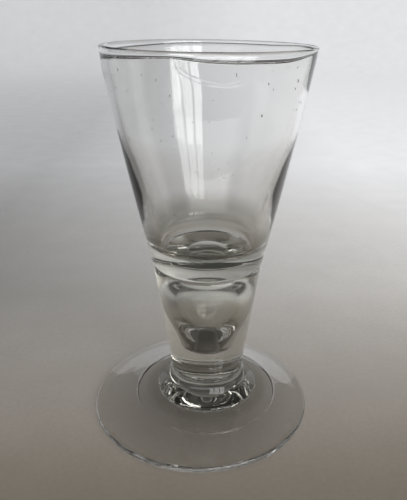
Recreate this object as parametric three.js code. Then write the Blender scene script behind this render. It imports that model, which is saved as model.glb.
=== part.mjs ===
// A schnapps glass, blown and finished by hand: a conical bowl with a rounded lip and a thick base, a
// solid tapering stem, a collar, and a conical foot with its rim folded under. Millimetres, +Z up.
// The origin is the middle of the foot, on the surface that the glass stands on.

import * as THREE from 'three';

// Bowl: heights are above its joint with the stem
const bowlLength = 57.7;
const bowlBaseRadius = 15.3;
const rimRadius = 26.6;
const bowlBow = 0.35; // how far the side stands out from a straight cone, halfway up
const wallThickness = 1.8;
const baseThickness = 3.9; // solid glass under the middle of the floor
const floorDish = 2.4; // how far the floor rises from its middle to where it starts to turn up
const floorFlatRadius = 11.4;
const floorRoundHeight = 4.6; // the floor turns up into the wall over this height
const floorWallThickness = 3.6; // the wall where the floor's rounding ends
const wallSwellHeight = 30; // height over which the wall thins above that
const heelWidth = 0.7; // the rounded lower edge, above the joint
const heelHeight = 1.2;
const lipThickness = 2.3;
const lipSwellHeight = 4; // height over which the wall thickens below the lip
const lipOuterRound = 0.8;
const lipInnerRound = 1.6;

// Stem
const stemLength = 33.6;
const stemTopRadius = 15;
const stemBottomRadius = 10.55;
const shoulderWidth = 0.9; // the rounded upper edge, below the bowl
const shoulderHeight = 1.9;
const jointRound = 0.45; // the softened edges that leave a fine groove between the stem and the collar

// Collar between the stem and the foot
const collarHeight = 7.9;
const collarRadius = 15.1;
const collarEdgeThickness = 1.7;
const collarFlareLean = 0.6; // slope of the flare where it leaves the rounded edge, in radians
const collarNeckRadius = 10.55;

// Foot: heights are above the surface that it stands on
const footRadius = 32.4;
const footOffset = 2; // the foot's middle lies this far to the left of the bowl's axis
const footPadHeight = 5.8; // the flat seat of the collar
const footPadMargin = 0.3; // flat glass left outside the collar
const footPadThickness = 1.7;
const footKickRadius = 13; // the flat part of the hollow underside
const footSheet = 1.2; // thickness of the foot's upper layer

// Fold: the foot's rim, turned under and pressed up against the upper layer
const foldInnerRadius = 20.8;
const foldThickness = 1.1;
const foldEdgeThickness = 0.7; // at the outer edge, where the fold was squeezed flat
const foldSetback = 0.3; // how far the fold stops short of the foot's outer edge
const foldGap = 0.3;

// Scar: what was left of the pontil's glass when the rod was snapped off
const scarRadius = 6;
const scarHeight = 0.9;

const roundSegments = 64;
const scarSegments = 24;

const quarter = Math.PI / 2;

const edgeSteps = 4; // straight stretches that a small rounded edge is made of
const curveSteps = 8; // and a longer curve
const wallSteps = 12;

const glassColour = 0xdde1da;
const baseColour = 0xcfd5cc;
const glassRoughness = 0.04;
const thinOpacity = 0.35;
const solidOpacity = 0.5;

function clearGlass(name, color, opacity) {
	const look = { name, color, opacity, roughness: glassRoughness, metalness: 0, transparent: true };
	return new THREE.MeshStandardMaterial(look);
}

// A stretch of an ellipse, from one angle to another, with its two ends
function arc(centreRadius, centreHeight, halfWidth, halfHeight, from, to, steps) {
	const points = [];
	for (let step = 0; step <= steps; step++) {
		const angle = THREE.MathUtils.lerp(from, to, step / steps);
		points.push(new THREE.Vector2(
			centreRadius + halfWidth * Math.cos(angle),
			centreHeight + halfHeight * Math.sin(angle),
		));
	}
	return points;
}

// A curve from one point to another, along a given direction at each end, without its first point
const bendReachShare = 0.38;

function bend(start, startWay, end, endWay) {
	const reach = bendReachShare * start.distanceTo(end);
	const leaving = start.clone().addScaledVector(startWay.clone().normalize(), reach);
	const arriving = end.clone().addScaledVector(endWay.clone().normalize(), -reach);
	return new THREE.CubicBezierCurve(start, leaving, arriving, end).getPoints(curveSteps).slice(1);
}

// Points of a side that is given as a radius for each height, with its two ends
function side(radiusAt, from, to, steps) {
	const points = [];
	for (let step = 0; step <= steps; step++) {
		const height = THREE.MathUtils.lerp(from, to, step / steps);
		points.push(new THREE.Vector2(radiusAt(height), height));
	}
	return points;
}

// A solid of revolution about Y. The profile runs counter-clockwise, and ends on the axis or where it began
function turned(name, profile, segments, material) {
	const mesh = new THREE.Mesh(new THREE.LatheGeometry(profile, segments), material);
	mesh.name = name;
	return mesh;
}

const lipRoundHeight = bowlLength - lipOuterRound;
const lipInnerHeight = bowlLength - lipInnerRound;
const floorFlatHeight = baseThickness + floorDish;
const floorRoundTop = baseThickness + floorRoundHeight;

// The outer side: a cone that bows out a little
function bowlSide(height) {
	const rise = height / lipRoundHeight;
	return THREE.MathUtils.lerp(bowlBaseRadius, rimRadius, rise) + bowlBow * Math.sin(Math.PI * rise);
}

// The wall is thickest at the floor, thin over most of its height, and swells again into the lip
function wallAt(height) {
	const aboveFloor = THREE.MathUtils.smoothstep(height - floorRoundTop, 0, wallSwellHeight);
	const belowLip = THREE.MathUtils.smoothstep(lipInnerHeight - height, 0, lipSwellHeight);
	const floorSwell = (floorWallThickness - wallThickness) * (1 - aboveFloor);
	const lipSwell = (lipThickness - wallThickness) * (1 - belowLip);
	return wallThickness + floorSwell + lipSwell;
}

function innerSide(height) {
	return bowlSide(height) - wallAt(height);
}

// A rounded lip: an outer and an inner quarter ellipse that meet at the crest
function lip() {
	const crestRadius = rimRadius - lipOuterRound;
	const innerWidth = crestRadius - innerSide(lipInnerHeight);
	return [
		...arc(crestRadius, lipRoundHeight, lipOuterRound, lipOuterRound, 0, quarter, edgeSteps),
		...arc(crestRadius, lipInnerHeight, innerWidth, lipInnerRound, quarter, 2 * quarter, edgeSteps).slice(1),
	];
}

// The floor's rounding and its shallow dish, from the wall to the axis
const dishShares = [0.8, 0.6, 0.4, 0.2, 0];

function bowlFloor() {
	const roundStart = new THREE.Vector2(innerSide(floorRoundTop), floorRoundTop);
	const roundEnd = new THREE.Vector2(floorFlatRadius, floorFlatHeight);
	const wallFoot = new THREE.Vector2(innerSide(floorFlatHeight), floorFlatHeight);
	const downTheWall = wallFoot.sub(roundStart);
	const acrossTheFloor = new THREE.Vector2(-floorFlatRadius, -2 * floorDish);
	const dish = dishShares.map((share) => (
		new THREE.Vector2(floorFlatRadius * share, baseThickness + floorDish * share ** 2)
	));
	return [...bend(roundStart, downTheWall, roundEnd, acrossTheFloor), ...dish];
}

function makeBowl() {
	const heelRadius = bowlSide(heelHeight) - heelWidth;
	const profile = [
		new THREE.Vector2(0, 0),
		...arc(heelRadius, heelHeight, heelWidth, heelHeight, -quarter, 0, edgeSteps),
		...side(bowlSide, heelHeight, lipRoundHeight, curveSteps).slice(1, -1),
		...lip(),
		...side(innerSide, lipInnerHeight, floorRoundTop, wallSteps).slice(1),
		...bowlFloor(),
	];
	return turned('bowl', profile, roundSegments, clearGlass('bowl_glass', glassColour, thinOpacity));
}

function makeStem() {
	const shoulderStart = stemLength - shoulderHeight;
	const profile = [
		new THREE.Vector2(0, 0),
		...arc(stemBottomRadius - jointRound, jointRound, jointRound, jointRound, -quarter, 0, edgeSteps),
		...arc(stemTopRadius - shoulderWidth, shoulderStart, shoulderWidth, shoulderHeight, 0, quarter, edgeSteps),
		new THREE.Vector2(0, stemLength),
	];
	return turned('stem', profile, roundSegments, clearGlass('stem_glass', baseColour, solidOpacity));
}

// A rounded edge below, and a flare that rises from it to a softened edge under the stem
function makeCollar() {
	const edgeHalf = collarEdgeThickness / 2;
	const edgeRadius = collarRadius - edgeHalf;
	const neckHeight = collarHeight - jointRound;
	const edge = arc(edgeRadius, edgeHalf, edgeHalf, edgeHalf, -quarter, quarter - collarFlareLean, edgeSteps);
	const upTheFlare = new THREE.Vector2(-Math.cos(collarFlareLean), Math.sin(collarFlareLean));
	const neck = new THREE.Vector2(collarNeckRadius, neckHeight);
	const profile = [
		new THREE.Vector2(0, 0),
		...edge,
		...bend(edge[edgeSteps], upTheFlare, neck, new THREE.Vector2(0, 1)),
		...arc(collarNeckRadius - jointRound, neckHeight, jointRound, jointRound, 0, quarter, edgeSteps).slice(1),
		new THREE.Vector2(0, collarHeight),
	];
	return turned('collar', profile, roundSegments, clearGlass('collar_glass', baseColour, solidOpacity));
}

const footPadRadius = collarRadius + footOffset + footPadMargin;
const footNose = footSheet / 2;
const footShoulderRadius = footRadius - footNose;
const footEdgeHeight = foldEdgeThickness + foldGap + footSheet;

// The foot's upper surface falls in a straight cone from the collar's seat to the rounded edge
const footSlope = (footPadHeight - footEdgeHeight) / (footShoulderRadius - footPadRadius);

function footTop(radius) {
	return footEdgeHeight + footSlope * (footShoulderRadius - radius);
}

function footUnderside(radius) {
	return footTop(radius) - footSheet;
}

function makeFoot() {
	const profile = [
		new THREE.Vector2(0, footPadHeight - footPadThickness),
		new THREE.Vector2(footKickRadius, footPadHeight - footPadThickness),
		new THREE.Vector2(foldInnerRadius, footUnderside(foldInnerRadius)),
		...arc(footShoulderRadius, footEdgeHeight - footNose, footNose, footNose, -quarter, quarter, edgeSteps),
		new THREE.Vector2(footPadRadius, footPadHeight),
		new THREE.Vector2(0, footPadHeight),
	];
	return turned('foot', profile, roundSegments, clearGlass('foot_glass', glassColour, thinOpacity));
}

// The fold follows the foot's underside, and is flat where it meets the table
function makeFold() {
	const topAt = (radius) => footUnderside(radius) - foldGap;
	const innerHalf = foldThickness / 2;
	const outerHalf = foldEdgeThickness / 2;
	const innerRound = foldInnerRadius + innerHalf;
	const outerRound = footRadius - foldSetback - outerHalf;
	const restRadius = footShoulderRadius - (foldThickness - foldEdgeThickness) / footSlope;
	const profile = [
		new THREE.Vector2(restRadius, 0),
		...arc(outerRound, outerHalf, outerHalf, outerHalf, -quarter, quarter, edgeSteps),
		...arc(innerRound, topAt(innerRound) - innerHalf, innerHalf, innerHalf, quarter, 3 * quarter, edgeSteps),
		new THREE.Vector2(restRadius, 0),
	];
	return turned('foot_fold', profile, roundSegments, clearGlass('fold_glass', glassColour, thinOpacity));
}

function makeScar() {
	const profile = [
		...arc(0, 0, scarRadius, scarHeight, -quarter, 0, edgeSteps),
		new THREE.Vector2(0, 0),
	];
	return turned('pontil_scar', profile, scarSegments, clearGlass('scar_glass', baseColour, solidOpacity));
}

// Stands a piece on the bowl's axis, or on the foot's, at a height above the table
function stand(mesh, axis, height) {
	mesh.position.set(axis, height, 0);
	return mesh;
}

const collarBottom = footPadHeight;
const stemBottom = collarBottom + collarHeight;
const bowlBottom = stemBottom + stemLength;

const glass = new THREE.Group();
glass.rotation.x = quarter;
glass.add(
	stand(makeBowl(), footOffset, bowlBottom),
	stand(makeStem(), footOffset, stemBottom),
	stand(makeCollar(), footOffset, collarBottom),
	stand(makeFoot(), 0, 0),
	stand(makeFold(), 0, 0),
	stand(makeScar(), footOffset, footPadHeight - footPadThickness),
);

export default glass;
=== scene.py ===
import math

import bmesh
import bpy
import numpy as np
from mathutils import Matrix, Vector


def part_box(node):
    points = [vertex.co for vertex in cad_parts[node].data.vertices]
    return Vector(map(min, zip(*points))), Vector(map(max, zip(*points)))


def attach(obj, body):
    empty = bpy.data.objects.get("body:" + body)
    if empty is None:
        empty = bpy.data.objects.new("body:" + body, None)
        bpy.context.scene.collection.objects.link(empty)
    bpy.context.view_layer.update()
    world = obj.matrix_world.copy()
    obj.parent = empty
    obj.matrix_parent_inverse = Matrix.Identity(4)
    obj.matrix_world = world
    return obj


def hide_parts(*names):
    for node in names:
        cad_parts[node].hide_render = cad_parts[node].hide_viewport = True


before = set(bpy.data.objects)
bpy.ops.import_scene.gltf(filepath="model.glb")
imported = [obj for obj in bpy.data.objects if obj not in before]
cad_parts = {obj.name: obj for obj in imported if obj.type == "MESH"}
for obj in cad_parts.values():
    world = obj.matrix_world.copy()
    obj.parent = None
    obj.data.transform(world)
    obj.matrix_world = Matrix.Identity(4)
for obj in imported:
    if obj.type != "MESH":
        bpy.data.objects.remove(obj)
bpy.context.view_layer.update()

# A hand-blown schnapps glass on pale paper: bowl, stem, collar, foot, the foot's folded rim and the pontil
# scar. Every piece is a surface of revolution that was bent a little by hand. Where two pieces were fused,
# their hidden faces meet and let light through unbent, so that the glass looks like the one rigid thing that
# it is. The air inside is made too: a tear in the stem, a flat bubble in the bowl's base, and small seeds.

MM = 0.001
SEGMENTS = 288
BEND_REACH = 0.38  # a curve's handles are this share of the distance between its ends
QUARTER = math.pi / 2

# Places of the materials in a piece's list. The stem has two for the tear's sides, and the fold has grime
GLASS = 0
JOINT = 1
DULL = 2
BUBBLE = 3
GRIME = 2

# Places taken from the frame
bowl_low, bowl_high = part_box("bowl")
stem_low, stem_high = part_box("stem")
collar_low, collar_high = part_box("collar")
foot_low, foot_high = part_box("foot")
scar_low, scar_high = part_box("pontil_scar")

BOWL_AXIS = (bowl_low.x + bowl_high.x) / 2
FOOT_AXIS = (foot_low.x + foot_high.x) / 2
FOOT_RADIUS = (foot_high.x - foot_low.x) / 2
RIM_RADIUS = (bowl_high.x - bowl_low.x) / 2
BOWL_LENGTH = bowl_high.z - bowl_low.z
STEM_LENGTH = stem_high.z - stem_low.z
COLLAR_HEIGHT = collar_high.z - collar_low.z
COLLAR_RADIUS = (collar_high.x - collar_low.x) / 2
SCAR_RADIUS = (scar_high.x - scar_low.x) / 2
SCAR_DEPTH = scar_high.z - scar_low.z
PAD_HEIGHT = foot_high.z
KICK_HEIGHT = scar_high.z

# Bowl
BOWL_BASE_RADIUS = 15.3 * MM
BOWL_BOW = 0.35 * MM  # how far the side stands out from a straight cone, halfway up
WALL = 1.8 * MM
BASE_THICKNESS = 3.9 * MM
FLOOR_DISH = 2.4 * MM  # how far the floor rises from its middle to where it starts to turn up
FLOOR_DISH_RADIUS = 11.4 * MM
FLOOR_ROUND_HEIGHT = 4.6 * MM  # the floor turns up into the wall over this height
FLOOR_WALL = 3.6 * MM  # the wall where the floor's rounding ends
WALL_SWELL_HEIGHT = 30 * MM  # height over which the wall thins above that
HEEL_WIDTH = 0.7 * MM  # the bowl's lower edge is rounded over this width and height
HEEL_HEIGHT = 1.2 * MM
HEEL_LEAN = 0.3  # rise over run where the heel leaves the joint
LIP = 2.2 * MM  # the lip is a round bead this thick
LIP_INSET = 0.3 * MM  # the wall's outside draws in this far under the bead
LIP_NECK_HEIGHT = 5 * MM
LIP_BEAD_TURN = math.radians(45)  # how far below its middle the bead goes on, outside and inside
LIP_NECK_START = 2.3  # the neck meets the bead this many of its half thicknesses under the rim
LIP_SHARE = 0.5  # how much of the bead's full thickness there is
LIP_SIDES = [(-65, 45, 0.5), (180, 80, 0.42), (0, 50, -0.3)]  # middle, spread in degrees, and what is added
LIP_BLEND_HEIGHT = 10 * MM
RIM_DROP = 0.7 * MM  # the rim is this much lower on the right
BOWL_SIDE_STEPS = 60  # about how many straight stretches each part of the profile is made of
BOWL_INNER_STEPS = 80
HEEL_STEPS = 14
NECK_STEPS = 10
LIP_STEPS = 40
FLOOR_ROUND_STEPS = 40
FLOOR_STEPS = 30

# Stem and joints
STEM_TOP_RADIUS = 15 * MM
STEM_BOTTOM_RADIUS = 10.55 * MM
SHOULDER_WIDTH = 0.9 * MM  # the rounded upper edge, below the bowl
SHOULDER_HEIGHT = 1.9 * MM
SHOULDER_LEAN = 0.3  # rise over run where it comes into the joint
JOINT_ROUND = 0.45 * MM  # the softened edges that leave a fine groove between the stem and the collar
STEM_SIDE_STEPS = 60
SHOULDER_STEPS = 16
JOINT_STEPS = 4
JOINT_ROUND_STEPS = 8

# Seeds: small bubbles. Those in the near wall and in the stem are listed one by one, each as its place
# sideways from the bowl's axis, its height above the table and its radius, in millimetres. The others are
# scattered
WALL_SEEDS = [
    (-19.5, 100.4, 0.22), (-14, 99.8, 0.16), (-20.5, 96.3, 0.2), (-18.3, 84.4, 0.2), (12.6, 98, 0.2),
    (19.6, 98, 0.3), (19, 96.3, 0.22), (11.5, 91.2, 0.26), (20, 91.2, 0.22), (21, 92.7, 0.2),
    (21.5, 84.3, 0.24), (-7.9, 67.1, 0.3), (14.2, 70, 0.22),
]
STEM_SEEDS = [
    (0.9, 15.5, 0.3), (0.9, 16.4, 0.22), (0.9, 17.3, 0.16), (2.7, 15, 0.2), (2.8, 16.3, 0.26),
    (2.6, 17.6, 0.18), (2.7, 18.8, 0.14), (2.5, 19.9, 0.18), (-2.4, 45.6, 0.3), (2.4, 45.2, 0.24),
]
STEM_SEED_DEPTH = 5 * MM  # in front of the axis
SCATTERED_SEEDS = 60
SCATTERED_CHANCE = 5  # starts the random draws
SCATTERED_RISES = (0.3, 0.9)  # shares of the bowl's length
SCATTERED_ANGLES = (-20, 200)
SCATTERED_RADII = (0.08, 0.2)
SEED_SHRINK = 0.85  # the placed ones are this much smaller than listed
SEED_STRETCH = 1.5  # bubbles are drawn out upwards
SEED_RINGS = 6
SEED_SIDES = 10

# A flat bubble of air in the bowl's base, pressed flat when the stem was put on. Heights are above the joint
BLISTER_HEIGHT = 2.3 * MM
BLISTER_RADIUS = 6.3 * MM
BLISTER_THICKNESS = 0.3 * MM
BLISTER_FLAT_STEPS = 5
BLISTER_EDGE_STEPS = 10

# A tear: the bell-shaped bubble of air in the stem. Heights are above the table
TEAR_BOTTOM = 21 * MM
TEAR_TOP = 46 * MM
TEAR_FOOT_RADIUS = 4.6 * MM
TEAR_RADIUS = 8.4 * MM
TEAR_WIDEST = 37 * MM
TEAR_FOOT_HEIGHT = 1.6 * MM
TEAR_STEEPNESS = 6  # rise over run where the side leaves the rounded foot
TEAR_FOOT_REACH = 0.5  # how roundly the foot and the dome bend, as a curve's reach
TEAR_DOME_REACH = 0.45
TEAR_FOOT_STEPS = 20
TEAR_SIDE_STEPS = 30
TEAR_DOME_STEPS = 30

# Collar
COLLAR_EDGE = 1.7 * MM
COLLAR_NECK_RADIUS = 10.55 * MM
COLLAR_LEAN = 0.6  # slope of the flare where it leaves the edge, in radians
COLLAR_EDGE_STEPS = 24
COLLAR_FLARE_STEPS = 40

# Foot and fold
PAD_RADIUS = 15.6 * MM
PAD_EASE = 0.08  # slope left where the foot's cone comes into the pad
KICK_RADIUS = 11 * MM  # the flat part of the hollow underside
FOOT_SHEET = 1.2 * MM
FOOT_EDGE = 2.2 * MM
FOLD_INNER_RADIUS = 20.8 * MM
FOLD_THICKNESS = 1.1 * MM
FOLD_REST_WIDTH = 1.5 * MM
FOLD_EDGE_REACH = 0.5
KICK_STEPS = 10
UNDERSIDE_STEPS = 24
NOSE_STEPS = 16
FOOT_TOP_STEPS = 40
PAD_STEPS = 3
FOLD_REST_STEPS = 4
FOLD_JOINT_STEPS = 12
FOLD_EDGE_STEPS = 16
FOLD_UNDERSIDE_STEPS = 20
SCAR_STEPS = 24

# Surface: tints of the thin wall, the bowl's base and the stem; the collar's tint, the stem's glass darkened
# with painted shade; and painted shade tinted into a dark band round the bowl's floor
THIN_TINT = (1, 1, 0.995)
BASE_TINT = (0.76, 0.755, 0.71)
# painted shade: this dark tint on the band round the bowl's floor stands in for the dark band that refraction
# shows there
PAINTED_SHADE_BAND_TINT = (0.36, 0.355, 0.31)
STEM_TINT = (0.56, 0.55, 0.495)
# painted shade: the collar's tint is the stem's glass made darker, standing in for the dark arcs that
# refraction shows in it
COLLAR_TINT_AND_PAINTED_SHADE = (0.32, 0.31, 0.27)
THICK_TOP = 53 * MM  # the base's tint is none at this height, and full at the next
THICK_BOTTOM = 50 * MM
PAINTED_SHADE_BAND_START = (50 * MM, 52 * MM)  # heights where the painted shade band starts, and is full
PAINTED_SHADE_BAND_END = (56 * MM, 62 * MM)  # and where it starts to end, and is gone
GLASS_INDEX = 1.5
CLEAR_ROUGHNESS = 0.01
SOLID_ROUGHNESS = 0.025
SOFT_ROUGHNESS = 0.035
DULL_ROUGHNESS = 0.2
BROKEN_ROUGHNESS = 0.25
WAVE_HEIGHT = 0.045 * MM
WAVE_SCALE = 110
RING_SCALE = 900
RING_SHARE = 0.03  # height of the turned rings over that of the waves
SCRATCH_STRETCH = (60, 900, 900)
SCRATCH_TURN = (0.2, 0.3, 0.5)
SCRATCH_START = 0.66  # the noise above this is a scratch
SCRATCH_FULL = 0.72
SCRATCH_WEAR = 0.5
FLOOR_WEAR = 0.8
WORN_RADIUS = 15.9 * MM  # the worn floor ends at this radius
WORN_TOP = 68 * MM  # and fades out between these heights
WORN_BOTTOM = 59 * MM
WORN_BASE_SHARES = (0.6, 0.9)  # shares of the base's thickness between which it starts
WORN_ROUGHNESS = 0.06  # roughness that full wear adds
EDGE_BLEND = 0.4 * MM  # the floor's wear and the ring's tint start over this width
PAD_BLEND = 0.5 * MM  # and the thick glass over this height, below the pad

# Dirt in the fold's seam
GRIME_SCALE = 300
GRIME_PATCHES = (0.4, 0.6)  # values of the noise that are all dark, and all pale
GRIME_DARK = (0.13, 0.12, 0.1)
GRIME_PALE = (0.4, 0.38, 0.34)
GRIME_ROUGHNESS = 0.8
GRIME_SHARE = 0.4  # how much of the fold's rounded inner edge it covers

# Stage, in metres and degrees
CAMERA_LENS = 40.75
CAMERA_SENSOR = 36
CAMERA_PLACE = (0.95 * MM, -146.1 * MM, 112.7 * MM)
CAMERA_DIP = 23.1
CAMERA_NEAR = 5 * MM
PAPER_TOP = -0.05 * MM
PAPER_THICKNESS = 0.02
WALL_DISTANCE = 1.2
WALL_BEND = 0.25
WALL_HEIGHT = 0.5
FLOOR_SHEET_STEPS = 30
WALL_BEND_STEPS = 16
WALL_STEPS = 4
HOOD_DISTANCE = 1.1
HOOD_LOW_FRONT = 14  # elevations of the hood's lower and upper edges
HOOD_LOW_BACK = 20
HOOD_HIGH = 88
HOOD_STEPS = 24
HOOD_SKIN = 1.02  # outside of the hood over its inside
HOOD_TONE_RANGE = (-0.2, 0.6)  # shares of the distance between which it turns from dark to pale
HOOD_DARK = (0.13, 0.13, 0.125)
HOOD_PALE = (0.5, 0.5, 0.49)
# Painted shade: a dark card on the table in front of the glass, standing in for a shadow that falls there
PAINTED_FRONT_SHADOW_DARK = (0.12, 0.12, 0.115)
PAINTED_FRONT_SHADOW_NEAR = 0.05
PAINTED_FRONT_SHADOW_DEPTH = 0.5
PAINTED_FRONT_SHADOW_HALF_WIDTH = 0.25
PAINTED_FRONT_SHADOW_HEIGHT = 0.2 * MM
PAINTED_FRONT_SHADOW_THICKNESS = 1 * MM
CARD_ROUGHNESS = 0.9
CARD_SHINE = 0.1
SHADE_RADIUS = 0.034  # the paper is shaded under the foot, from full at a share of this to none at it
SHADE_CORE = 0.2
SHADE = 0.5
DEEP_SHADE = 0.42  # more of it where the paper is seen through several surfaces of thick glass
DEEP_SURFACES = 2.5
WORLD_COLOUR = (0.225, 0.23, 0.238)
GLOW = 0.65  # how much of the paper's tone is its own, and isn't lit by the lamps
ROOM_GLOW = 1.9  # the wall in front of the glass, behind the camera, glows this much more
ROOM_SHARES = (-0.5, -0.8)  # shares of the wall's distance between which that starts
WINDOW_DISTANCE = 0.8
WINDOW_AIM = 0.08  # height of the point that the panes face
WINDOW_LOW = 3  # elevations of the panes' edges, and azimuths of each pane's sides
WINDOW_HIGH = 34
WINDOW_PANES = [(8, 18.7), (21.5, 34), (37, 51)]
WINDOW_RADIANCE = 4.4
LIGHT_BOUNCES = 32
GLOSSY_BOUNCES = 16
CLEAR_BOUNCES = 64

# Tones of the paper at distances behind the middle of the glass, with painted light and shade: dark in front
# of the glass and paler behind it, where more light falls
PAPER_TONES_AND_PAINTED_LIGHT = [
    (-1.2, (0.8, 0.8, 0.8)),
    (-0.9, (0.8, 0.8, 0.8)),
    (-0.6, (0.1, 0.088, 0.072)),
    (-0.2, (0.1, 0.088, 0.072)),
    (-0.038, (0.167, 0.148, 0.121)),
    (-0.011, (0.244, 0.22, 0.193)),
    (0.084, (0.394, 0.382, 0.366)),
    (0.286, (0.652, 0.654, 0.662)),
    (1.1, (0.752, 0.76, 0.772)),
]
# Painted light: how fast the tone rises from left to right, towards the lit side, per metre, at distances
# behind the glass
PAINTED_LIGHT_TILTS = [(-0.02, 0), (0.07, 3.8), (0.286, 2.75), (1.1, 0.75)]
TILT_HOLD = 0.12  # it rises no further than this far out
PAPER_GRAIN = [(60, 0.12), (700, 0.16)]  # scale per metre and strength of the paper's mottle and grain


def smooth(share):
    """A smooth step from 0 to 1: 3 s^2 - 2 s^3, with s held between 0 and 1."""
    share = np.clip(share, 0, 1)
    return share * share * (3 - 2 * share)


def points(radius, height):
    """Profile points from radii and heights."""
    radius, height = np.broadcast_arrays(np.asarray(radius, float), np.asarray(height, float))
    return np.stack([radius, height], 1)


def arc(centre, half_width, half_height, start, end, steps):
    """A stretch of an ellipse: centre + (half width cos a, half height sin a), from one angle to another."""
    angle = np.linspace(start, end, steps + 1)
    return points(centre[0] + half_width * np.cos(angle), centre[1] + half_height * np.sin(angle))


def bend(start, start_way, end, end_way, steps, reach_share=BEND_REACH):
    """A cubic Bezier curve that leaves start along start_way and comes into end along end_way."""
    start, end = np.array(start, float), np.array(end, float)
    reach = reach_share * np.linalg.norm(end - start)
    first = start + reach * np.array(start_way, float) / np.linalg.norm(start_way)
    last = end - reach * np.array(end_way, float) / np.linalg.norm(end_way)
    t = np.linspace(0, 1, steps + 1)[:, None]
    return start * (1 - t) ** 3 + 3 * first * t * (1 - t) ** 2 + 3 * last * t ** 2 * (1 - t) + end * t ** 3


def line(start, end, steps):
    """Evenly spaced points on a straight line."""
    return points(np.linspace(start[0], end[0], steps + 1), np.linspace(start[1], end[1], steps + 1))


def outline(*stretches):
    """Joins stretches end to end. Each is its points and the place of its material. The result is all the
    points, and a material's place for each step between them."""
    joined = [stretches[0][0][:1]]
    slots = []
    for stretch, slot in stretches:
        joined.append(stretch[1:])
        slots += [slot] * (len(stretch) - 1)
    return np.concatenate(joined), np.array(slots)


def new_piece(name, vertices, faces, slots, materials):
    """A smooth mesh object at the origin, with a material's place for each face."""
    mesh = bpy.data.meshes.new(name)
    mesh.from_pydata(vertices.tolist(), [], faces)
    mesh.polygons.foreach_set("material_index", slots.astype(np.int32))
    mesh.polygons.foreach_set("use_smooth", np.ones(len(faces), bool))
    for material in materials:
        mesh.materials.append(material)
    mesh.update()
    piece = bpy.data.objects.new(name, mesh)
    bpy.context.scene.collection.objects.link(piece)
    return piece


def turned(name, profile, slots, place, materials, closed=False):
    """Carries a profile round an upright axis. place turns (radius, height, angle) into x, y and z, for all
    points at once. A profile starts and ends on the axis, where its ring is one point, or is closed."""
    angle = np.linspace(0, 2 * math.pi, SEGMENTS, endpoint=False)[None, :]
    rings = profile[:-1] if closed else profile[1:-1]
    x, y, z = place(rings[:, :1], rings[:, 1:], angle)
    vertices = np.stack(np.broadcast_arrays(x, y, z), -1).reshape(-1, 3)

    count = len(rings)
    ring = np.arange(count if closed else count - 1)[:, None] * SEGMENTS
    column = np.arange(SEGMENTS)[None, :]
    following = (column + 1) % SEGMENTS
    above = (ring + SEGMENTS) % (count * SEGMENTS)
    corners = np.broadcast_arrays(ring + column, ring + following, above + following, above + column)
    faces = np.stack(corners, -1).reshape(-1, 4).tolist()
    face_slots = np.repeat(slots if closed else slots[1:-1], SEGMENTS)

    if not closed:
        ends = place(profile[[0, -1], :1], profile[[0, -1], 1:], np.zeros((1, 1)))
        poles = np.stack(np.broadcast_arrays(*ends), -1).reshape(-1, 3)
        bottom, top = len(vertices), len(vertices) + 1
        vertices = np.concatenate([vertices, poles])
        last = (count - 1) * SEGMENTS
        low = np.stack([np.full(SEGMENTS, bottom), following[0], column[0]], 1)
        high = np.stack([last + column[0], last + following[0], np.full(SEGMENTS, top)], 1)
        faces += low.tolist() + high.tolist()
        face_slots = np.concatenate([face_slots, np.repeat(slots[[0, -1]], SEGMENTS)])
    return new_piece(name, vertices, faces, face_slots, materials)


def merged(piece, other):
    """Adds another piece's mesh to a piece, as a void or a lump of the same glass."""
    joined = bmesh.new()
    joined.from_mesh(piece.data)
    joined.from_mesh(other.data)
    joined.to_mesh(piece.data)
    joined.free()
    bpy.data.objects.remove(other)
    return piece


# The bowl's axis carries the bowl, stem and collar


def bowl_cone(height):
    """Radius of the bowl's plain outside: a straight cone plus a sine bow."""
    rise = height / (BOWL_LENGTH - LIP / 2)
    return BOWL_BASE_RADIUS + (RIM_RADIUS - BOWL_BASE_RADIUS) * rise + BOWL_BOW * np.sin(math.pi * rise)


def bowl_side(height):
    """Radius of the bowl's outside, drawn in a little under the lip's bead."""
    neck = smooth((height - BOWL_LENGTH + LIP_NECK_HEIGHT + LIP / 2) / LIP_NECK_HEIGHT)
    return bowl_cone(height) - LIP_INSET * neck


def wall_at(height):
    """Wall thickness: thick at the floor and thin above."""
    above_floor = smooth((height - BASE_THICKNESS - FLOOR_ROUND_HEIGHT) / WALL_SWELL_HEIGHT)
    return WALL + (FLOOR_WALL - WALL) * (1 - above_floor)


def inner_side(height):
    """Radius of the bowl's inside."""
    return bowl_side(height) - wall_at(height)


def way_of(radius_at, height):
    """Direction of a side at a height, by a small difference."""
    step = 0.01 * MM
    return radius_at(height + step) - radius_at(height - step), 2 * step


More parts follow.
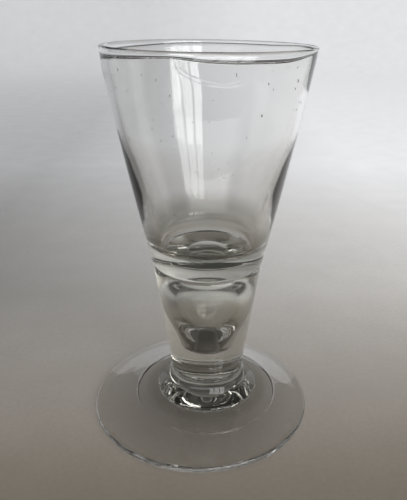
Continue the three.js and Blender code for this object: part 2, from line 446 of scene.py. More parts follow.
def bowl_profile():
    """Joint face, rounded heel, outer side, lip, inner side, rounded floor and its shallow dish."""
    joint_radius = bowl_side(0) - HEEL_WIDTH
    heel = (bowl_side(HEEL_HEIGHT), HEEL_HEIGHT)
    heel_way = way_of(bowl_side, HEEL_HEIGHT)

    bead = LIP / 2
    bead_middle = (RIM_RADIUS - bead, BOWL_LENGTH - bead)
    bead_way = (math.sin(LIP_BEAD_TURN), math.cos(LIP_BEAD_TURN))
    lip = arc(bead_middle, bead, bead, -LIP_BEAD_TURN, math.pi + LIP_BEAD_TURN, LIP_STEPS)
    neck_top = BOWL_LENGTH - LIP_NECK_START * bead
    outer_neck = (bowl_side(neck_top), neck_top)
    outer_way = way_of(bowl_side, neck_top)
    inner_neck = (inner_side(neck_top), neck_top)
    inner_way = -np.array(way_of(inner_side, neck_top))

    round_top = BASE_THICKNESS + FLOOR_ROUND_HEIGHT
    round_start = (inner_side(round_top), round_top)
    round_end = (FLOOR_DISH_RADIUS, BASE_THICKNESS + FLOOR_DISH)
    down_wall = -np.array(way_of(inner_side, round_top))
    across_floor = (-1, -2 * FLOOR_DISH / FLOOR_DISH_RADIUS)
    outer = np.linspace(HEEL_HEIGHT, neck_top, BOWL_SIDE_STEPS)
    inner = np.linspace(neck_top, round_top, BOWL_INNER_STEPS)
    floor = np.linspace(FLOOR_DISH_RADIUS, 0, FLOOR_STEPS)
    return outline(
        (line((0, 0), (joint_radius, 0), JOINT_STEPS), JOINT),
        (bend((joint_radius, 0), (1, HEEL_LEAN), heel, heel_way, HEEL_STEPS), GLASS),
        (points(bowl_side(outer), outer), GLASS),
        (bend(outer_neck, outer_way, lip[0], bead_way, NECK_STEPS), GLASS),
        (lip, GLASS),
        (bend(lip[-1], (bead_way[0], -bead_way[1]), inner_neck, inner_way, NECK_STEPS), GLASS),
        (points(inner_side(inner), inner), GLASS),
        (bend(round_start, down_wall, round_end, across_floor, FLOOR_ROUND_STEPS), GLASS),
        (points(floor, BASE_THICKNESS + FLOOR_DISH * (floor / FLOOR_DISH_RADIUS) ** 2), GLASS),
    )


def blister_profile():
    """A thin flat bubble with a round edge, from the lower pole to the upper one."""
    half = BLISTER_THICKNESS / 2
    flat = BLISTER_RADIUS - half
    low, high = BLISTER_HEIGHT - half, BLISTER_HEIGHT + half
    return outline(
        (line((0, low), (flat, low), BLISTER_FLAT_STEPS), GLASS),
        (arc((flat, BLISTER_HEIGHT), half, half, -QUARTER, QUARTER, BLISTER_EDGE_STEPS), GLASS),
        (line((flat, high), (0, high), BLISTER_FLAT_STEPS), GLASS),
    )


def around(angle, middle, spread):
    """1 at one place round the bowl, easing to 0 on both sides of it."""
    edge = math.cos(spread)
    return smooth((np.cos(angle - middle) - edge) / (1 - edge))


def bowl_place(radius, height, angle):
    """Bowl points: a bead that is thickest on the near right, and a rim that drops to the right."""
    share = LIP_SHARE
    for middle, spread, added in LIP_SIDES:
        share = share + added * around(angle, math.radians(middle), math.radians(spread))
    below = BOWL_LENGTH - height
    scale = share + (1 - share) * smooth(below / LIP_BLEND_HEIGHT)
    depth = (bowl_cone(height) - radius) * scale
    height = BOWL_LENGTH - below * scale
    radius = bowl_cone(height) - depth
    drop = RIM_DROP * (1 + np.cos(angle)) / 2 * smooth(height / BOWL_LENGTH)
    x = BOWL_AXIS + radius * np.cos(angle)
    y = radius * np.sin(angle)
    return x, y, bowl_low.z + height - drop


def seeds(name, places, materials):
    """Small bubbles whose faces look into their air: the unit ball (sin p cos a, sin p sin a, stretch cos p),
    times a radius, at a place. Each row of places has x, y, z and radius."""
    polar = np.linspace(0, math.pi, SEED_RINGS + 1)[1:-1, None]
    angle = np.linspace(0, 2 * math.pi, SEED_SIDES, endpoint=False)[None, :]
    x, y, z = np.sin(polar) * np.cos(angle), np.sin(polar) * np.sin(angle), SEED_STRETCH * np.cos(polar)
    ball = np.stack(np.broadcast_arrays(x, y, z), -1).reshape(-1, 3)
    ball = np.concatenate([ball, [(0, 0, SEED_STRETCH), (0, 0, -SEED_STRETCH)]])
    top, bottom = len(ball) - 2, len(ball) - 1

    lowest = (SEED_RINGS - 2) * SEED_SIDES
    faces = []
    for side in range(SEED_SIDES):
        after = (side + 1) % SEED_SIDES
        faces.append((top, after, side))
        faces.append((bottom, lowest + side, lowest + after))
        for ring in range(0, lowest, SEED_SIDES):
            below = ring + SEED_SIDES
            faces.append((ring + side, ring + after, below + after, below + side))

    vertices = (ball[None, :, :] * places[:, None, 3:] + places[:, None, :3]).reshape(-1, 3)
    starts = range(0, len(vertices), len(ball))
    faces = [tuple(corner + start for corner in face) for start in starts for face in faces]
    return new_piece(name, vertices, faces, np.full(len(faces), GLASS), materials)


def wall_seeds():
    """Places of the bubbles in the bowl's wall: those in the near wall as listed, the others at random."""
    sideways, height, radius = np.array(WALL_SEEDS).T * MM
    middle = bowl_cone(height - bowl_low.z) - WALL / 2
    near = -np.sqrt(middle ** 2 - sideways ** 2)
    listed = np.stack([BOWL_AXIS + sideways, near, height, SEED_SHRINK * radius], 1)

    chance = np.random.default_rng(SCATTERED_CHANCE)
    rise = BOWL_LENGTH * chance.uniform(*SCATTERED_RISES, SCATTERED_SEEDS)
    angle = np.radians(chance.uniform(*SCATTERED_ANGLES, SCATTERED_SEEDS))
    radius = chance.uniform(*SCATTERED_RADII, SCATTERED_SEEDS) * MM
    middle = bowl_cone(rise) - wall_at(rise) / 2
    x, y = BOWL_AXIS + middle * np.cos(angle), middle * np.sin(angle)
    scattered = np.stack([x, y, bowl_low.z + rise, radius], 1)
    return np.concatenate([listed, scattered])


def stem_seeds():
    """Places of the bubbles in the stem, a little in front of its axis."""
    sideways, height, radius = np.array(STEM_SEEDS).T * MM
    depth = np.full(len(STEM_SEEDS), -STEM_SEED_DEPTH)
    return np.stack([BOWL_AXIS + sideways, depth, height, SEED_SHRINK * radius], 1)


def blister_place(radius, height, angle):
    """Points of the flat bubble, on the bowl's axis."""
    return BOWL_AXIS + radius * np.cos(angle), radius * np.sin(angle), bowl_low.z + height


def stem_profile():
    """A solid cone between two joint faces with softened edges."""
    low = (STEM_BOTTOM_RADIUS, JOINT_ROUND)
    high = (STEM_TOP_RADIUS, STEM_LENGTH - SHOULDER_HEIGHT)
    way = (high[0] - low[0], high[1] - low[1])
    low_joint = (STEM_BOTTOM_RADIUS - JOINT_ROUND, 0)
    high_joint = (STEM_TOP_RADIUS - SHOULDER_WIDTH, STEM_LENGTH)
    return outline(
        (line((0, 0), low_joint, JOINT_STEPS), JOINT),
        (bend(low_joint, (1, 0), low, way, JOINT_ROUND_STEPS), GLASS),
        (line(low, high, STEM_SIDE_STEPS), GLASS),
        (bend(high, way, high_joint, (-1, SHOULDER_LEAN), SHOULDER_STEPS), GLASS),
        (line(high_joint, (0, STEM_LENGTH), JOINT_STEPS), JOINT),
    )


def tear_profile():
    """A rounded bottom, a side that widens upwards, and a low dome, from the lower pole to the upper one."""
    bottom = TEAR_BOTTOM - stem_low.z
    top = TEAR_TOP - stem_low.z
    widest = (TEAR_RADIUS, TEAR_WIDEST - stem_low.z)
    foot = (TEAR_FOOT_RADIUS, bottom + TEAR_FOOT_HEIGHT)
    way = (1, TEAR_STEEPNESS)
    return outline(
        (bend((0, bottom), (1, 0), foot, way, TEAR_FOOT_STEPS, TEAR_FOOT_REACH), BUBBLE),
        (bend(foot, way, widest, (0, 1), TEAR_SIDE_STEPS), BUBBLE),
        (bend(widest, (0, 1), (0, top), (-1, 0), TEAR_DOME_STEPS, TEAR_DOME_REACH), DULL),
    )


def stem_place(radius, height, angle):
    """Stem points on the bowl's axis."""
    return BOWL_AXIS + radius * np.cos(angle), radius * np.sin(angle), stem_low.z + height


def collar_profile():
    """A rounded edge, and a flare that rises to a softened edge under the stem, between two joint faces."""
    edge = COLLAR_EDGE / 2
    edge_radius = COLLAR_RADIUS - edge
    rounded = arc((edge_radius, edge), edge, edge, -QUARTER, QUARTER - COLLAR_LEAN, COLLAR_EDGE_STEPS)
    up_flare = (-1, math.tan(COLLAR_LEAN))
    neck = (COLLAR_NECK_RADIUS, COLLAR_HEIGHT - JOINT_ROUND)
    high_joint = (COLLAR_NECK_RADIUS - JOINT_ROUND, COLLAR_HEIGHT)
    return outline(
        (line((0, 0), (edge_radius, 0), JOINT_STEPS), JOINT),
        (rounded, GLASS),
        (bend(rounded[-1], up_flare, neck, (0, 1), COLLAR_FLARE_STEPS), GLASS),
        (bend(neck, (0, 1), high_joint, (-1, 0), JOINT_ROUND_STEPS), GLASS),
        (line(high_joint, (0, COLLAR_HEIGHT), JOINT_STEPS), JOINT),
    )


def collar_place(radius, height, angle):
    """Collar points on the bowl's axis."""
    return BOWL_AXIS + radius * np.cos(angle), radius * np.sin(angle), collar_low.z + height


# The foot is drawn out sideways, so its rings drift from the bowl's axis to the foot's own middle

NOSE = FOOT_EDGE / 2  # half of the rounded edge's height
NOSE_RADIUS = FOOT_RADIUS - NOSE
FOOT_SLOPE = (PAD_HEIGHT - FOOT_EDGE) / (NOSE_RADIUS - PAD_RADIUS)
UNDER_FOLD_HEIGHT = PAD_HEIGHT - FOOT_SLOPE * (FOLD_INNER_RADIUS - PAD_RADIUS) - FOOT_SHEET


def foot_place(radius, height, angle):
    """Foot points: each ring's centre moves from the bowl's axis to the foot's as the radius grows."""
    drift = smooth((radius - PAD_RADIUS) / (FOOT_RADIUS - PAD_RADIUS))
    centre = BOWL_AXIS + (FOOT_AXIS - BOWL_AXIS) * drift
    return centre + radius * np.cos(angle), radius * np.sin(angle), height


def foot_profile():
    """Joint with the scar, hollow underside, joint with the fold, upper half of the nose, cone, pad, and
    joint with the collar."""
    kick = (KICK_RADIUS, KICK_HEIGHT)
    under_fold = (FOLD_INNER_RADIUS, UNDER_FOLD_HEIGHT)
    nose_top = QUARTER - math.atan(FOOT_SLOPE)
    nose = arc((NOSE_RADIUS, NOSE), NOSE, NOSE, 0, nose_top, NOSE_STEPS)
    pad = (PAD_RADIUS, PAD_HEIGHT)
    collar_contact = (COLLAR_RADIUS - COLLAR_EDGE / 2, PAD_HEIGHT)
    return outline(
        (line((0, KICK_HEIGHT), (SCAR_RADIUS, KICK_HEIGHT), JOINT_STEPS), JOINT),
        (line((SCAR_RADIUS, KICK_HEIGHT), kick, KICK_STEPS), GLASS),
        (bend(kick, (1, 0), under_fold, (1, -FOOT_SLOPE), UNDERSIDE_STEPS), GLASS),
        (line(under_fold, (FOOT_RADIUS, NOSE), FOLD_JOINT_STEPS), JOINT),
        (nose, GLASS),
        (bend(nose[-1], (-1, FOOT_SLOPE), pad, (-1, PAD_EASE), FOOT_TOP_STEPS), GLASS),
        (line(pad, collar_contact, PAD_STEPS), GLASS),
        (line(collar_contact, (0, PAD_HEIGHT), JOINT_STEPS), JOINT),
    )


def fold_profile():
    """The resting face, lower half of the nose, joint with the foot, and the rounded inner edge, dirty at its
    seam."""
    inner_top = (FOLD_INNER_RADIUS, UNDER_FOLD_HEIGHT)
    inner_low = (FOLD_INNER_RADIUS + FOLD_THICKNESS / 2, UNDER_FOLD_HEIGHT - FOLD_THICKNESS)
    rest_outer = (NOSE_RADIUS, 0)
    rest_inner = (NOSE_RADIUS - FOLD_REST_WIDTH, 0)
    under_way = (rest_inner[0] - inner_low[0], rest_inner[1] - inner_low[1])
    inner_edge = bend(inner_top, (-1, -1), inner_low, under_way, FOLD_EDGE_STEPS, FOLD_EDGE_REACH)
    seam_end = round(GRIME_SHARE * FOLD_EDGE_STEPS)
    return outline(
        (line(rest_inner, rest_outer, FOLD_REST_STEPS), GLASS),
        (arc((NOSE_RADIUS, NOSE), NOSE, NOSE, -QUARTER, 0, NOSE_STEPS), GLASS),
        (line((FOOT_RADIUS, NOSE), inner_top, FOLD_JOINT_STEPS), JOINT),
        (inner_edge[:seam_end + 1], GRIME),
        (inner_edge[seam_end:], GLASS),
        (line(inner_low, rest_inner, FOLD_UNDERSIDE_STEPS), GLASS),
    )


def scar_profile():
    """A shallow lump under its joint face."""
    lump = arc((0, KICK_HEIGHT), SCAR_RADIUS, SCAR_DEPTH, -QUARTER, 0, SCAR_STEPS)
    return outline((lump, GLASS), (line((SCAR_RADIUS, KICK_HEIGHT), (0, KICK_HEIGHT), JOINT_STEPS), JOINT))


# Materials


def new_material(name):
    """An empty node material and its output node."""
    material = bpy.data.materials.new(name)
    material.use_nodes = True
    material.node_tree.nodes.clear()
    output = material.node_tree.nodes.new("ShaderNodeOutputMaterial")
    return material, output


def value_node(tree, operation, *values):
    """A Math node whose inputs are numbers or sockets, and its output."""
    node = tree.nodes.new("ShaderNodeMath")
    node.operation = operation
    for socket, value in zip(node.inputs, values):
        if isinstance(value, (int, float)):
            socket.default_value = value
        else:
            tree.links.new(value, socket)
    return node.outputs["Value"]


def noise_node(tree, vector, scale, detail):
    """A Noise texture over a vector, and its value."""
    noise = tree.nodes.new("ShaderNodeTexNoise")
    noise.inputs["Scale"].default_value = scale
    noise.inputs["Detail"].default_value = detail
    tree.links.new(vector, noise.inputs["Vector"])
    return noise.outputs["Fac"]


def eased(tree, socket, start, end):
    """A smooth step from 0 at one value of a socket to 1 at another."""
    share = tree.nodes.new("ShaderNodeMapRange")
    share.interpolation_type = "SMOOTHSTEP"
    share.inputs["From Min"].default_value = start
    share.inputs["From Max"].default_value = end
    tree.links.new(socket, share.inputs["Value"])
    return share.outputs["Result"]


def place_nodes(tree):
    """The place on a piece, and its x, y and z."""
    place = tree.nodes.new("ShaderNodeTexCoord").outputs["Object"]
    xyz = tree.nodes.new("ShaderNodeSeparateXYZ")
    tree.links.new(place, xyz.inputs["Vector"])
    return place, *xyz.outputs


def hand_turned_surface():
    """Node group for all the glass: the normal of a surface that is a little wavy and has faint turned rings,
    the wear of scratches and of the bowl's floor, a mask of the thick base, and a mask of the painted shade
    band round the floor."""
    group = bpy.data.node_groups.new("hand_turned_surface", "ShaderNodeTree")
    group.interface.new_socket("Normal", in_out="OUTPUT", socket_type="NodeSocketVector")
    for name in ("Wear", "Thick", "Painted_shade_band"):
        group.interface.new_socket(name, in_out="OUTPUT", socket_type="NodeSocketFloat")
    output = group.nodes.new("NodeGroupOutput")
    place, x, y, z = place_nodes(group)
    sideways = value_node(group, "SUBTRACT", x, BOWL_AXIS)
    y_square = value_node(group, "MULTIPLY", y, y)
    radius = value_node(group, "SQRT", value_node(group, "MULTIPLY_ADD", sideways, sideways, y_square))

    turned_place = group.nodes.new("ShaderNodeCombineXYZ")
    group.links.new(radius, turned_place.inputs["X"])
    group.links.new(z, turned_place.inputs["Z"])
    waves = noise_node(group, place, WAVE_SCALE, detail=1)
    rings = noise_node(group, turned_place.outputs["Vector"], RING_SCALE, detail=2)
    bump = group.nodes.new("ShaderNodeBump")
    bump.inputs["Strength"].default_value = 1
    bump.inputs["Distance"].default_value = WAVE_HEIGHT
    group.links.new(value_node(group, "MULTIPLY_ADD", rings, RING_SHARE, waves), bump.inputs["Height"])
    group.links.new(bump.outputs["Normal"], output.inputs["Normal"])

    stretched = group.nodes.new("ShaderNodeMapping")
    stretched.inputs["Rotation"].default_value = SCRATCH_TURN
    stretched.inputs["Scale"].default_value = SCRATCH_STRETCH
    group.links.new(place, stretched.inputs["Vector"])
    streaks = noise_node(group, stretched.outputs["Vector"], scale=1, detail=2)
    scratches = eased(group, streaks, SCRATCH_START, SCRATCH_FULL)
    inside = eased(group, radius, WORN_RADIUS, WORN_RADIUS - EDGE_BLEND)
    low = eased(group, z, WORN_TOP, WORN_BOTTOM)
    above = eased(group, z, *[bowl_low.z + share * BASE_THICKNESS for share in WORN_BASE_SHARES])
    floor = value_node(group, "MULTIPLY", value_node(group, "MULTIPLY", inside, low), above)
    floor_wear = value_node(group, "MULTIPLY", floor, FLOOR_WEAR)
    wear = value_node(group, "MULTIPLY_ADD", scratches, SCRATCH_WEAR, floor_wear)
    group.links.new(wear, output.inputs["Wear"])

    below = eased(group, z, THICK_TOP, THICK_BOTTOM)
    over_foot = eased(group, z, PAD_HEIGHT - PAD_BLEND, PAD_HEIGHT)
    group.links.new(value_node(group, "MULTIPLY", below, over_foot), output.inputs["Thick"])

    rising = eased(group, z, *PAINTED_SHADE_BAND_START)
    falling = eased(group, z, *reversed(PAINTED_SHADE_BAND_END))
    outside = eased(group, radius, WORN_RADIUS - EDGE_BLEND, WORN_RADIUS)
    band = value_node(group, "MULTIPLY", value_node(group, "MULTIPLY", rising, falling), outside)
    group.links.new(band, output.inputs["Painted_shade_band"])
    return group


def blended(tree, factor, first, second):
    """A Mix node between two colours, each a colour or a socket, and its output."""
    mix = tree.nodes.new("ShaderNodeMix")
    mix.data_type = "RGBA"
    inputs = [socket for socket in mix.inputs if socket.type == "RGBA"]
    for socket, colour in zip(inputs, (first, second)):
        if isinstance(colour, tuple):
            socket.default_value = (*colour, 1)
        else:
            tree.links.new(colour, socket)
    tree.links.new(factor, mix.inputs["Factor"])
    return next(socket for socket in mix.outputs if socket.type == "RGBA")


def glass_material(name, group, roughness, tint, has_thick_base=False):
    """Clear old glass. Wear adds to its roughness. Where it has a thick base, that is tinted, and painted
    shade darkens a band round the floor above it."""
    material, output = new_material(name)
    tree = material.node_tree
    surface = tree.nodes.new("ShaderNodeGroup")
    surface.node_tree = group
    shader = tree.nodes.new("ShaderNodeBsdfPrincipled")
    shader.inputs["Base Color"].default_value = (*tint, 1)
    shader.inputs["IOR"].default_value = GLASS_INDEX
    shader.inputs["Transmission Weight"].default_value = 1
    if has_thick_base:
        based = blended(tree, surface.outputs["Thick"], tint, BASE_TINT)
        # painted shade: the dark band round the bowl's floor
        banded = blended(tree, surface.outputs["Painted_shade_band"], based, PAINTED_SHADE_BAND_TINT)
        tree.links.new(banded, shader.inputs["Base Color"])
    rough = value_node(tree, "MULTIPLY_ADD", surface.outputs["Wear"], WORN_ROUGHNESS, roughness)
    tree.links.new(rough, shader.inputs["Roughness"])
    tree.links.new(surface.outputs["Normal"], shader.inputs["Normal"])
    tree.links.new(shader.outputs["BSDF"], output.inputs["Surface"])
    return material


def grime_material():
    """Old dirt in the fold's seam: matt, and patchy between a dark and a paler brown."""
    material, output = new_material("seam_grime")
    tree = material.node_tree
    place = place_nodes(tree)[0]
    shader = tree.nodes.new("ShaderNodeBsdfPrincipled")
    shader.inputs["Roughness"].default_value = GRIME_ROUGHNESS
    patches = eased(tree, noise_node(tree, place, GRIME_SCALE, detail=3), *GRIME_PATCHES)
    tree.links.new(blended(tree, patches, GRIME_DARK, GRIME_PALE), shader.inputs["Base Color"])
    tree.links.new(shader.outputs["BSDF"], output.inputs["Surface"])
    return material


def joint_material():
    """A fused joint inside the glass: nothing shows."""
    material, output = new_material("fused_joint")
    tree = material.node_tree
    shader = tree.nodes.new("ShaderNodeBsdfTransparent")
    tree.links.new(shader.outputs["BSDF"], output.inputs["Surface"])
    return material


def make_bowl(surface, joint):
    """The bowl, with its flat bubble and the seeds in its wall."""
    clear = glass_material("clear_glass", surface, CLEAR_ROUGHNESS, THIN_TINT, has_thick_base=True)
    materials = [clear, joint]
    bowl = turned("bowl_glass", *bowl_profile(), bowl_place, materials)
    bowl = merged(bowl, seeds("wall_seeds", wall_seeds(), materials))
    blister = turned("blister", *blister_profile(), blister_place, materials)
    blister.data.flip_normals()
    return merged(bowl, blister)


def make_stem(surface, joint):
    """The stem, with its tear, whose dome is duller than its side, and its seeds."""
    solid = glass_material("solid_glass", surface, SOLID_ROUGHNESS, STEM_TINT)
    dull = glass_material("dull_glass", surface, DULL_ROUGHNESS, THIN_TINT)
    bubble = glass_material("bubble_glass", surface, SOLID_ROUGHNESS, THIN_TINT)
    materials = [solid, joint, dull, bubble]
    stem = turned("stem_glass", *stem_profile(), stem_place, materials)
    stem = merged(stem, seeds("stem_seeds", stem_seeds(), materials))
    tear = turned("tear", *tear_profile(), stem_place, materials)
    tear.data.flip_normals()
    return merged(stem, tear)


def make_pieces():
    """All six pieces, each riding on the one body and standing for its node."""
    surface = hand_turned_surface()
    joint = joint_material()
    stem = make_stem(surface, joint)
    bowl = make_bowl(surface, joint)
    # painted shade: the collar's dark tint
    soft = glass_material("soft_glass", surface, SOFT_ROUGHNESS, COLLAR_TINT_AND_PAINTED_SHADE)
    rough = glass_material("broken_glass", surface, BROKEN_ROUGHNESS, THIN_TINT)
    clear = bowl.data.materials[GLASS]
    collar = turned("collar_glass", *collar_profile(), collar_place, [soft, joint])
    foot = turned("foot_glass", *foot_profile(), foot_place, [clear, joint])
    fold = turned("fold_glass", *fold_profile(), foot_place, [clear, joint, grime_material()], closed=True)
    scar = turned("scar_glass", *scar_profile(), foot_place, [rough, joint])
    made = [
        (bowl, "bowl", "glass"),
        (stem, "stem", "glass"),
        (collar, "collar", "glass"),
        (foot, "foot", "glass"),
        (fold, "foot_fold", "glass"),
        (scar, "pontil_scar", "rough_glass"),
    ]
    for piece, node, slot in made:
        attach(piece, "root")
        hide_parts(node)


# Stage


def make_camera():
    """The camera stands a little above the rim and looks down at the glass."""
    data = bpy.data.cameras.new("camera")
    data.lens = CAMERA_LENS
    data.sensor_width = CAMERA_SENSOR
    data.clip_start = CAMERA_NEAR
    camera = bpy.data.objects.new("camera", data)
    camera.location = CAMERA_PLACE
    camera.rotation_euler = (math.radians(90 - CAMERA_DIP), 0, 0)
    bpy.context.scene.collection.objects.link(camera)
    bpy.context.scene.camera = camera


def painted(name, colour_nodes):
    """A matt material whose colour comes from nodes."""
    material, output = new_material(name)
    shader = material.node_tree.nodes.new("ShaderNodeBsdfPrincipled")
    shader.inputs["Roughness"].default_value = CARD_ROUGHNESS
    shader.inputs["Specular IOR Level"].default_value = CARD_SHINE
    colour_nodes(material.node_tree, shader.inputs["Base Color"])
    material.node_tree.links.new(shader.outputs["BSDF"], output.inputs["Surface"])
    return material


def ramp_over(tree, socket, stops):
    """A colour ramp over a socket's value, with stops at values of it."""
    first, last = stops[0][0], stops[-1][0]
    share = tree.nodes.new("ShaderNodeMapRange")
    share.inputs["From Min"].default_value = first
    share.inputs["From Max"].default_value = last
    tree.links.new(socket, share.inputs["Value"])
    ramp = tree.nodes.new("ShaderNodeValToRGB")
    while len(ramp.color_ramp.elements) < len(stops):
        ramp.color_ramp.elements.new(0.5)
    for element, (value, colour) in zip(ramp.color_ramp.elements, stops):
        element.position = (value - first) / (last - first)
        element.color = (*colour, 1)
    tree.links.new(share.outputs["Result"], ramp.inputs["Fac"])
    return ramp.outputs["Color"]


def foot_shade(tree, place):
    """How much the foot shades the paper, more so where it is seen through thick glass."""
    distance = tree.nodes.new("ShaderNodeVectorMath")
    distance.operation = "LENGTH"
    tree.links.new(place, distance.inputs[0])
    near = eased(tree, distance.outputs["Value"], SHADE_RADIUS, SHADE_CORE * SHADE_RADIUS)
    path = tree.nodes.new("ShaderNodeLightPath")
    deep = value_node(tree, "GREATER_THAN", path.outputs["Transmission Depth"], DEEP_SURFACES)
    strength = value_node(tree, "MULTIPLY_ADD", deep, DEEP_SHADE, SHADE)
    return value_node(tree, "MULTIPLY", near, strength)


def paper_tone_and_painted_light(tree):
    """Tone of the paper, with painted light and shade: it rises with distance behind the glass, and there
    from left to right, as the light falls; it is darker under the foot, and has grain.
    """
    place, x, y, _ = place_nodes(tree)
    tones = ramp_over(tree, y, PAPER_TONES_AND_PAINTED_LIGHT)
    steepest = max(rate for _, rate in PAINTED_LIGHT_TILTS)
    tilts = ramp_over(tree, y, [(at, (rate / steepest,) * 3) for at, rate in PAINTED_LIGHT_TILTS])
    tilt = value_node(tree, "MULTIPLY", tilts, steepest)
    held = value_node(tree, "MAXIMUM", value_node(tree, "MINIMUM", x, TILT_HOLD), -TILT_HOLD)
    factor = value_node(tree, "MULTIPLY_ADD", held, tilt, 1)
    factor = value_node(tree, "MULTIPLY", factor, value_node(tree, "SUBTRACT", 1, foot_shade(tree, place)))
    for scale, strength in PAPER_GRAIN:
        grain = noise_node(tree, place, scale, detail=3)
        lift = value_node(tree, "MULTIPLY_ADD", grain, strength, 1 - strength / 2)
        factor = value_node(tree, "MULTIPLY", factor, lift)
    tone = tree.nodes.new("ShaderNodeVectorMath")
    tone.operation = "SCALE"
    tree.links.new(tones, tone.inputs[0])
    tree.links.new(factor, tone.inputs["Scale"])
    return tone.outputs["Vector"]


def paper_material():
    """Matt paper. Part of its tone glows for the camera and the glass. The rest takes light and shadow."""
    material, output = new_material("paper")
    tree = material.node_tree
    tone = paper_tone_and_painted_light(tree)
    matt = tree.nodes.new("ShaderNodeBsdfDiffuse")
    glow = tree.nodes.new("ShaderNodeEmission")
    both = tree.nodes.new("ShaderNodeAddShader")
    path = tree.nodes.new("ShaderNodeLightPath")
    seen = value_node(tree, "ADD", path.outputs["Is Camera Ray"], path.outputs["Is Glossy Ray"])
    seen = value_node(tree, "ADD", seen, path.outputs["Is Transmission Ray"])
    seen = value_node(tree, "MINIMUM", seen, 1)
    y = place_nodes(tree)[2]
    room = eased(tree, y, *[share * WALL_DISTANCE for share in ROOM_SHARES])
    strength = value_node(tree, "MULTIPLY_ADD", room, ROOM_GLOW, GLOW)
    tree.links.new(value_node(tree, "MULTIPLY", seen, strength), glow.inputs["Strength"])
    tree.links.new(tone, matt.inputs["Color"])
    tree.links.new(tone, glow.inputs["Color"])
    tree.links.new(matt.outputs["BSDF"], both.inputs[0])
    tree.links.new(glow.outputs["Emission"], both.inputs[1])
    tree.links.new(both.outputs["Shader"], output.inputs["Surface"])
    return material


def make_paper():
    """Floor and wall in one: a thick sheet that turns up into a low wall all round."""
    back = WALL_DISTANCE + PAPER_THICKNESS
    bend_start = WALL_DISTANCE - WALL_BEND
    stretches = [
        line((0, -PAPER_THICKNESS), (back, -PAPER_THICKNESS), WALL_STEPS),
        line((back, -PAPER_THICKNESS), (back, WALL_HEIGHT), WALL_STEPS),
        line((back, WALL_HEIGHT), (WALL_DISTANCE, WALL_HEIGHT), 1),
        line((WALL_DISTANCE, WALL_HEIGHT), (WALL_DISTANCE, WALL_BEND), WALL_STEPS),
        arc((bend_start, WALL_BEND), WALL_BEND, WALL_BEND, 0, -QUARTER, WALL_BEND_STEPS),
        line((bend_start, 0), (0, 0), FLOOR_SHEET_STEPS),
    ]
    profile, slots = outline(*[(stretch, 0) for stretch in stretches])

    def place(radius, height, angle):
        return radius * np.cos(angle), radius * np.sin(angle), height + PAPER_TOP

    turned("floor", profile, slots, place, [paper_material()])


def shown_to_glass(card):
    """Hides a card from the camera, the diffuse light and the shadows, so that only the glass sees it and it
    throws no shadow.
    """
    card.visible_camera = False
    card.visible_diffuse = False
    card.visible_shadow = False


def make_painted_front_shadow():
    """Painted shade: a dark card on the table in front of the glass, nearer than what the camera sees of the
    table, standing in for a shadow that falls there.
    """
    profile = points([0, 1, 1, 0], [0, 0, PAINTED_FRONT_SHADOW_THICKNESS, PAINTED_FRONT_SHADOW_THICKNESS])

    def place(radius, height, angle):
        x = PAINTED_FRONT_SHADOW_HALF_WIDTH * radius * np.cos(angle)
        y = PAINTED_FRONT_SHADOW_DEPTH / 2 * (radius * np.sin(angle) - 1) - PAINTED_FRONT_SHADOW_NEAR
        return x, y, height + PAINTED_FRONT_SHADOW_HEIGHT

    def dark(tree, socket):
        socket.default_value = (*PAINTED_FRONT_SHADOW_DARK, 1)

    slots = np.zeros(len(profile) - 1, int)
    painted_front_shadow = turned("painted_front_shadow", profile, slots, place, [painted("painted_front_shadow", dark)])
    painted_front_shadow.data.shade_flat()
    shown_to_glass(painted_front_shadow)


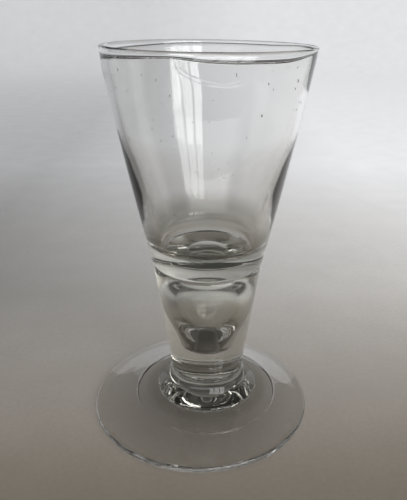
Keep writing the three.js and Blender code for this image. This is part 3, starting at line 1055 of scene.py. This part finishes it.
def make_hood():
    """A dark hood over the glass, lower in front and open at the top, which gives clear glass dark edges."""
    share = np.linspace(0, 1, HOOD_STEPS + 1)
    outer = points(HOOD_DISTANCE * HOOD_SKIN, share)
    inner = points(HOOD_DISTANCE, share[::-1])
    profile = np.concatenate([outer, inner, outer[:1]])

    def place(radius, share_up, angle):
        low = HOOD_LOW_FRONT + (HOOD_LOW_BACK - HOOD_LOW_FRONT) * (1 + np.sin(angle)) / 2
        elevation = np.radians(low + (HOOD_HIGH - low) * share_up)
        level = radius * np.cos(elevation)
        return level * np.cos(angle), level * np.sin(angle), radius * np.sin(elevation)

    def dark(tree, socket):
        y = place_nodes(tree)[2]
        first, last = HOOD_TONE_RANGE
        stops = [(first * HOOD_DISTANCE, HOOD_DARK), (last * HOOD_DISTANCE, HOOD_PALE)]
        tree.links.new(ramp_over(tree, y, stops), socket)

    slots = np.zeros(len(profile) - 1, int)
    shown_to_glass(turned("hood", profile, slots, place, [painted("hood", dark)], closed=True))


def make_window():
    """Tall panes to the right behind the camera, as area lamps that aim at the bowl."""
    target = Vector((BOWL_AXIS, 0, WINDOW_AIM))
    for left, right in WINDOW_PANES:
        azimuth = math.radians((left + right) / 2)
        level = math.radians((WINDOW_LOW + WINDOW_HIGH) / 2)
        lamp = bpy.data.lights.new("pane", "AREA")
        lamp.shape = "RECTANGLE"
        lamp.size = WINDOW_DISTANCE * math.radians(right - left)
        lamp.size_y = WINDOW_DISTANCE * math.radians(WINDOW_HIGH - WINDOW_LOW)
        lamp.energy = WINDOW_RADIANCE * lamp.size * lamp.size_y * math.pi
        pane = bpy.data.objects.new("pane", lamp)
        reach = math.cos(level)
        way = Vector((reach * math.sin(azimuth), -reach * math.cos(azimuth), math.sin(level)))
        pane.location = target + way * WINDOW_DISTANCE
        pane.rotation_euler = way.to_track_quat("Z", "Y").to_euler()
        pane.visible_camera = False
        bpy.context.scene.collection.objects.link(pane)


def make_world():
    """Plain light from all round."""
    world = bpy.data.worlds.new("studio")
    bpy.context.scene.world = world
    world.use_nodes = True
    background = world.node_tree.nodes["Background"]
    background.inputs["Color"].default_value = (*WORLD_COLOUR, 1)


make_camera()
make_pieces()
make_paper()
make_hood()
make_painted_front_shadow()
make_window()
make_world()

scene = bpy.context.scene
scene.view_settings.view_transform = "Standard"
scene.cycles.max_bounces = LIGHT_BOUNCES
scene.cycles.transmission_bounces = LIGHT_BOUNCES
scene.cycles.glossy_bounces = GLOSSY_BOUNCES
scene.cycles.transparent_max_bounces = CLEAR_BOUNCES
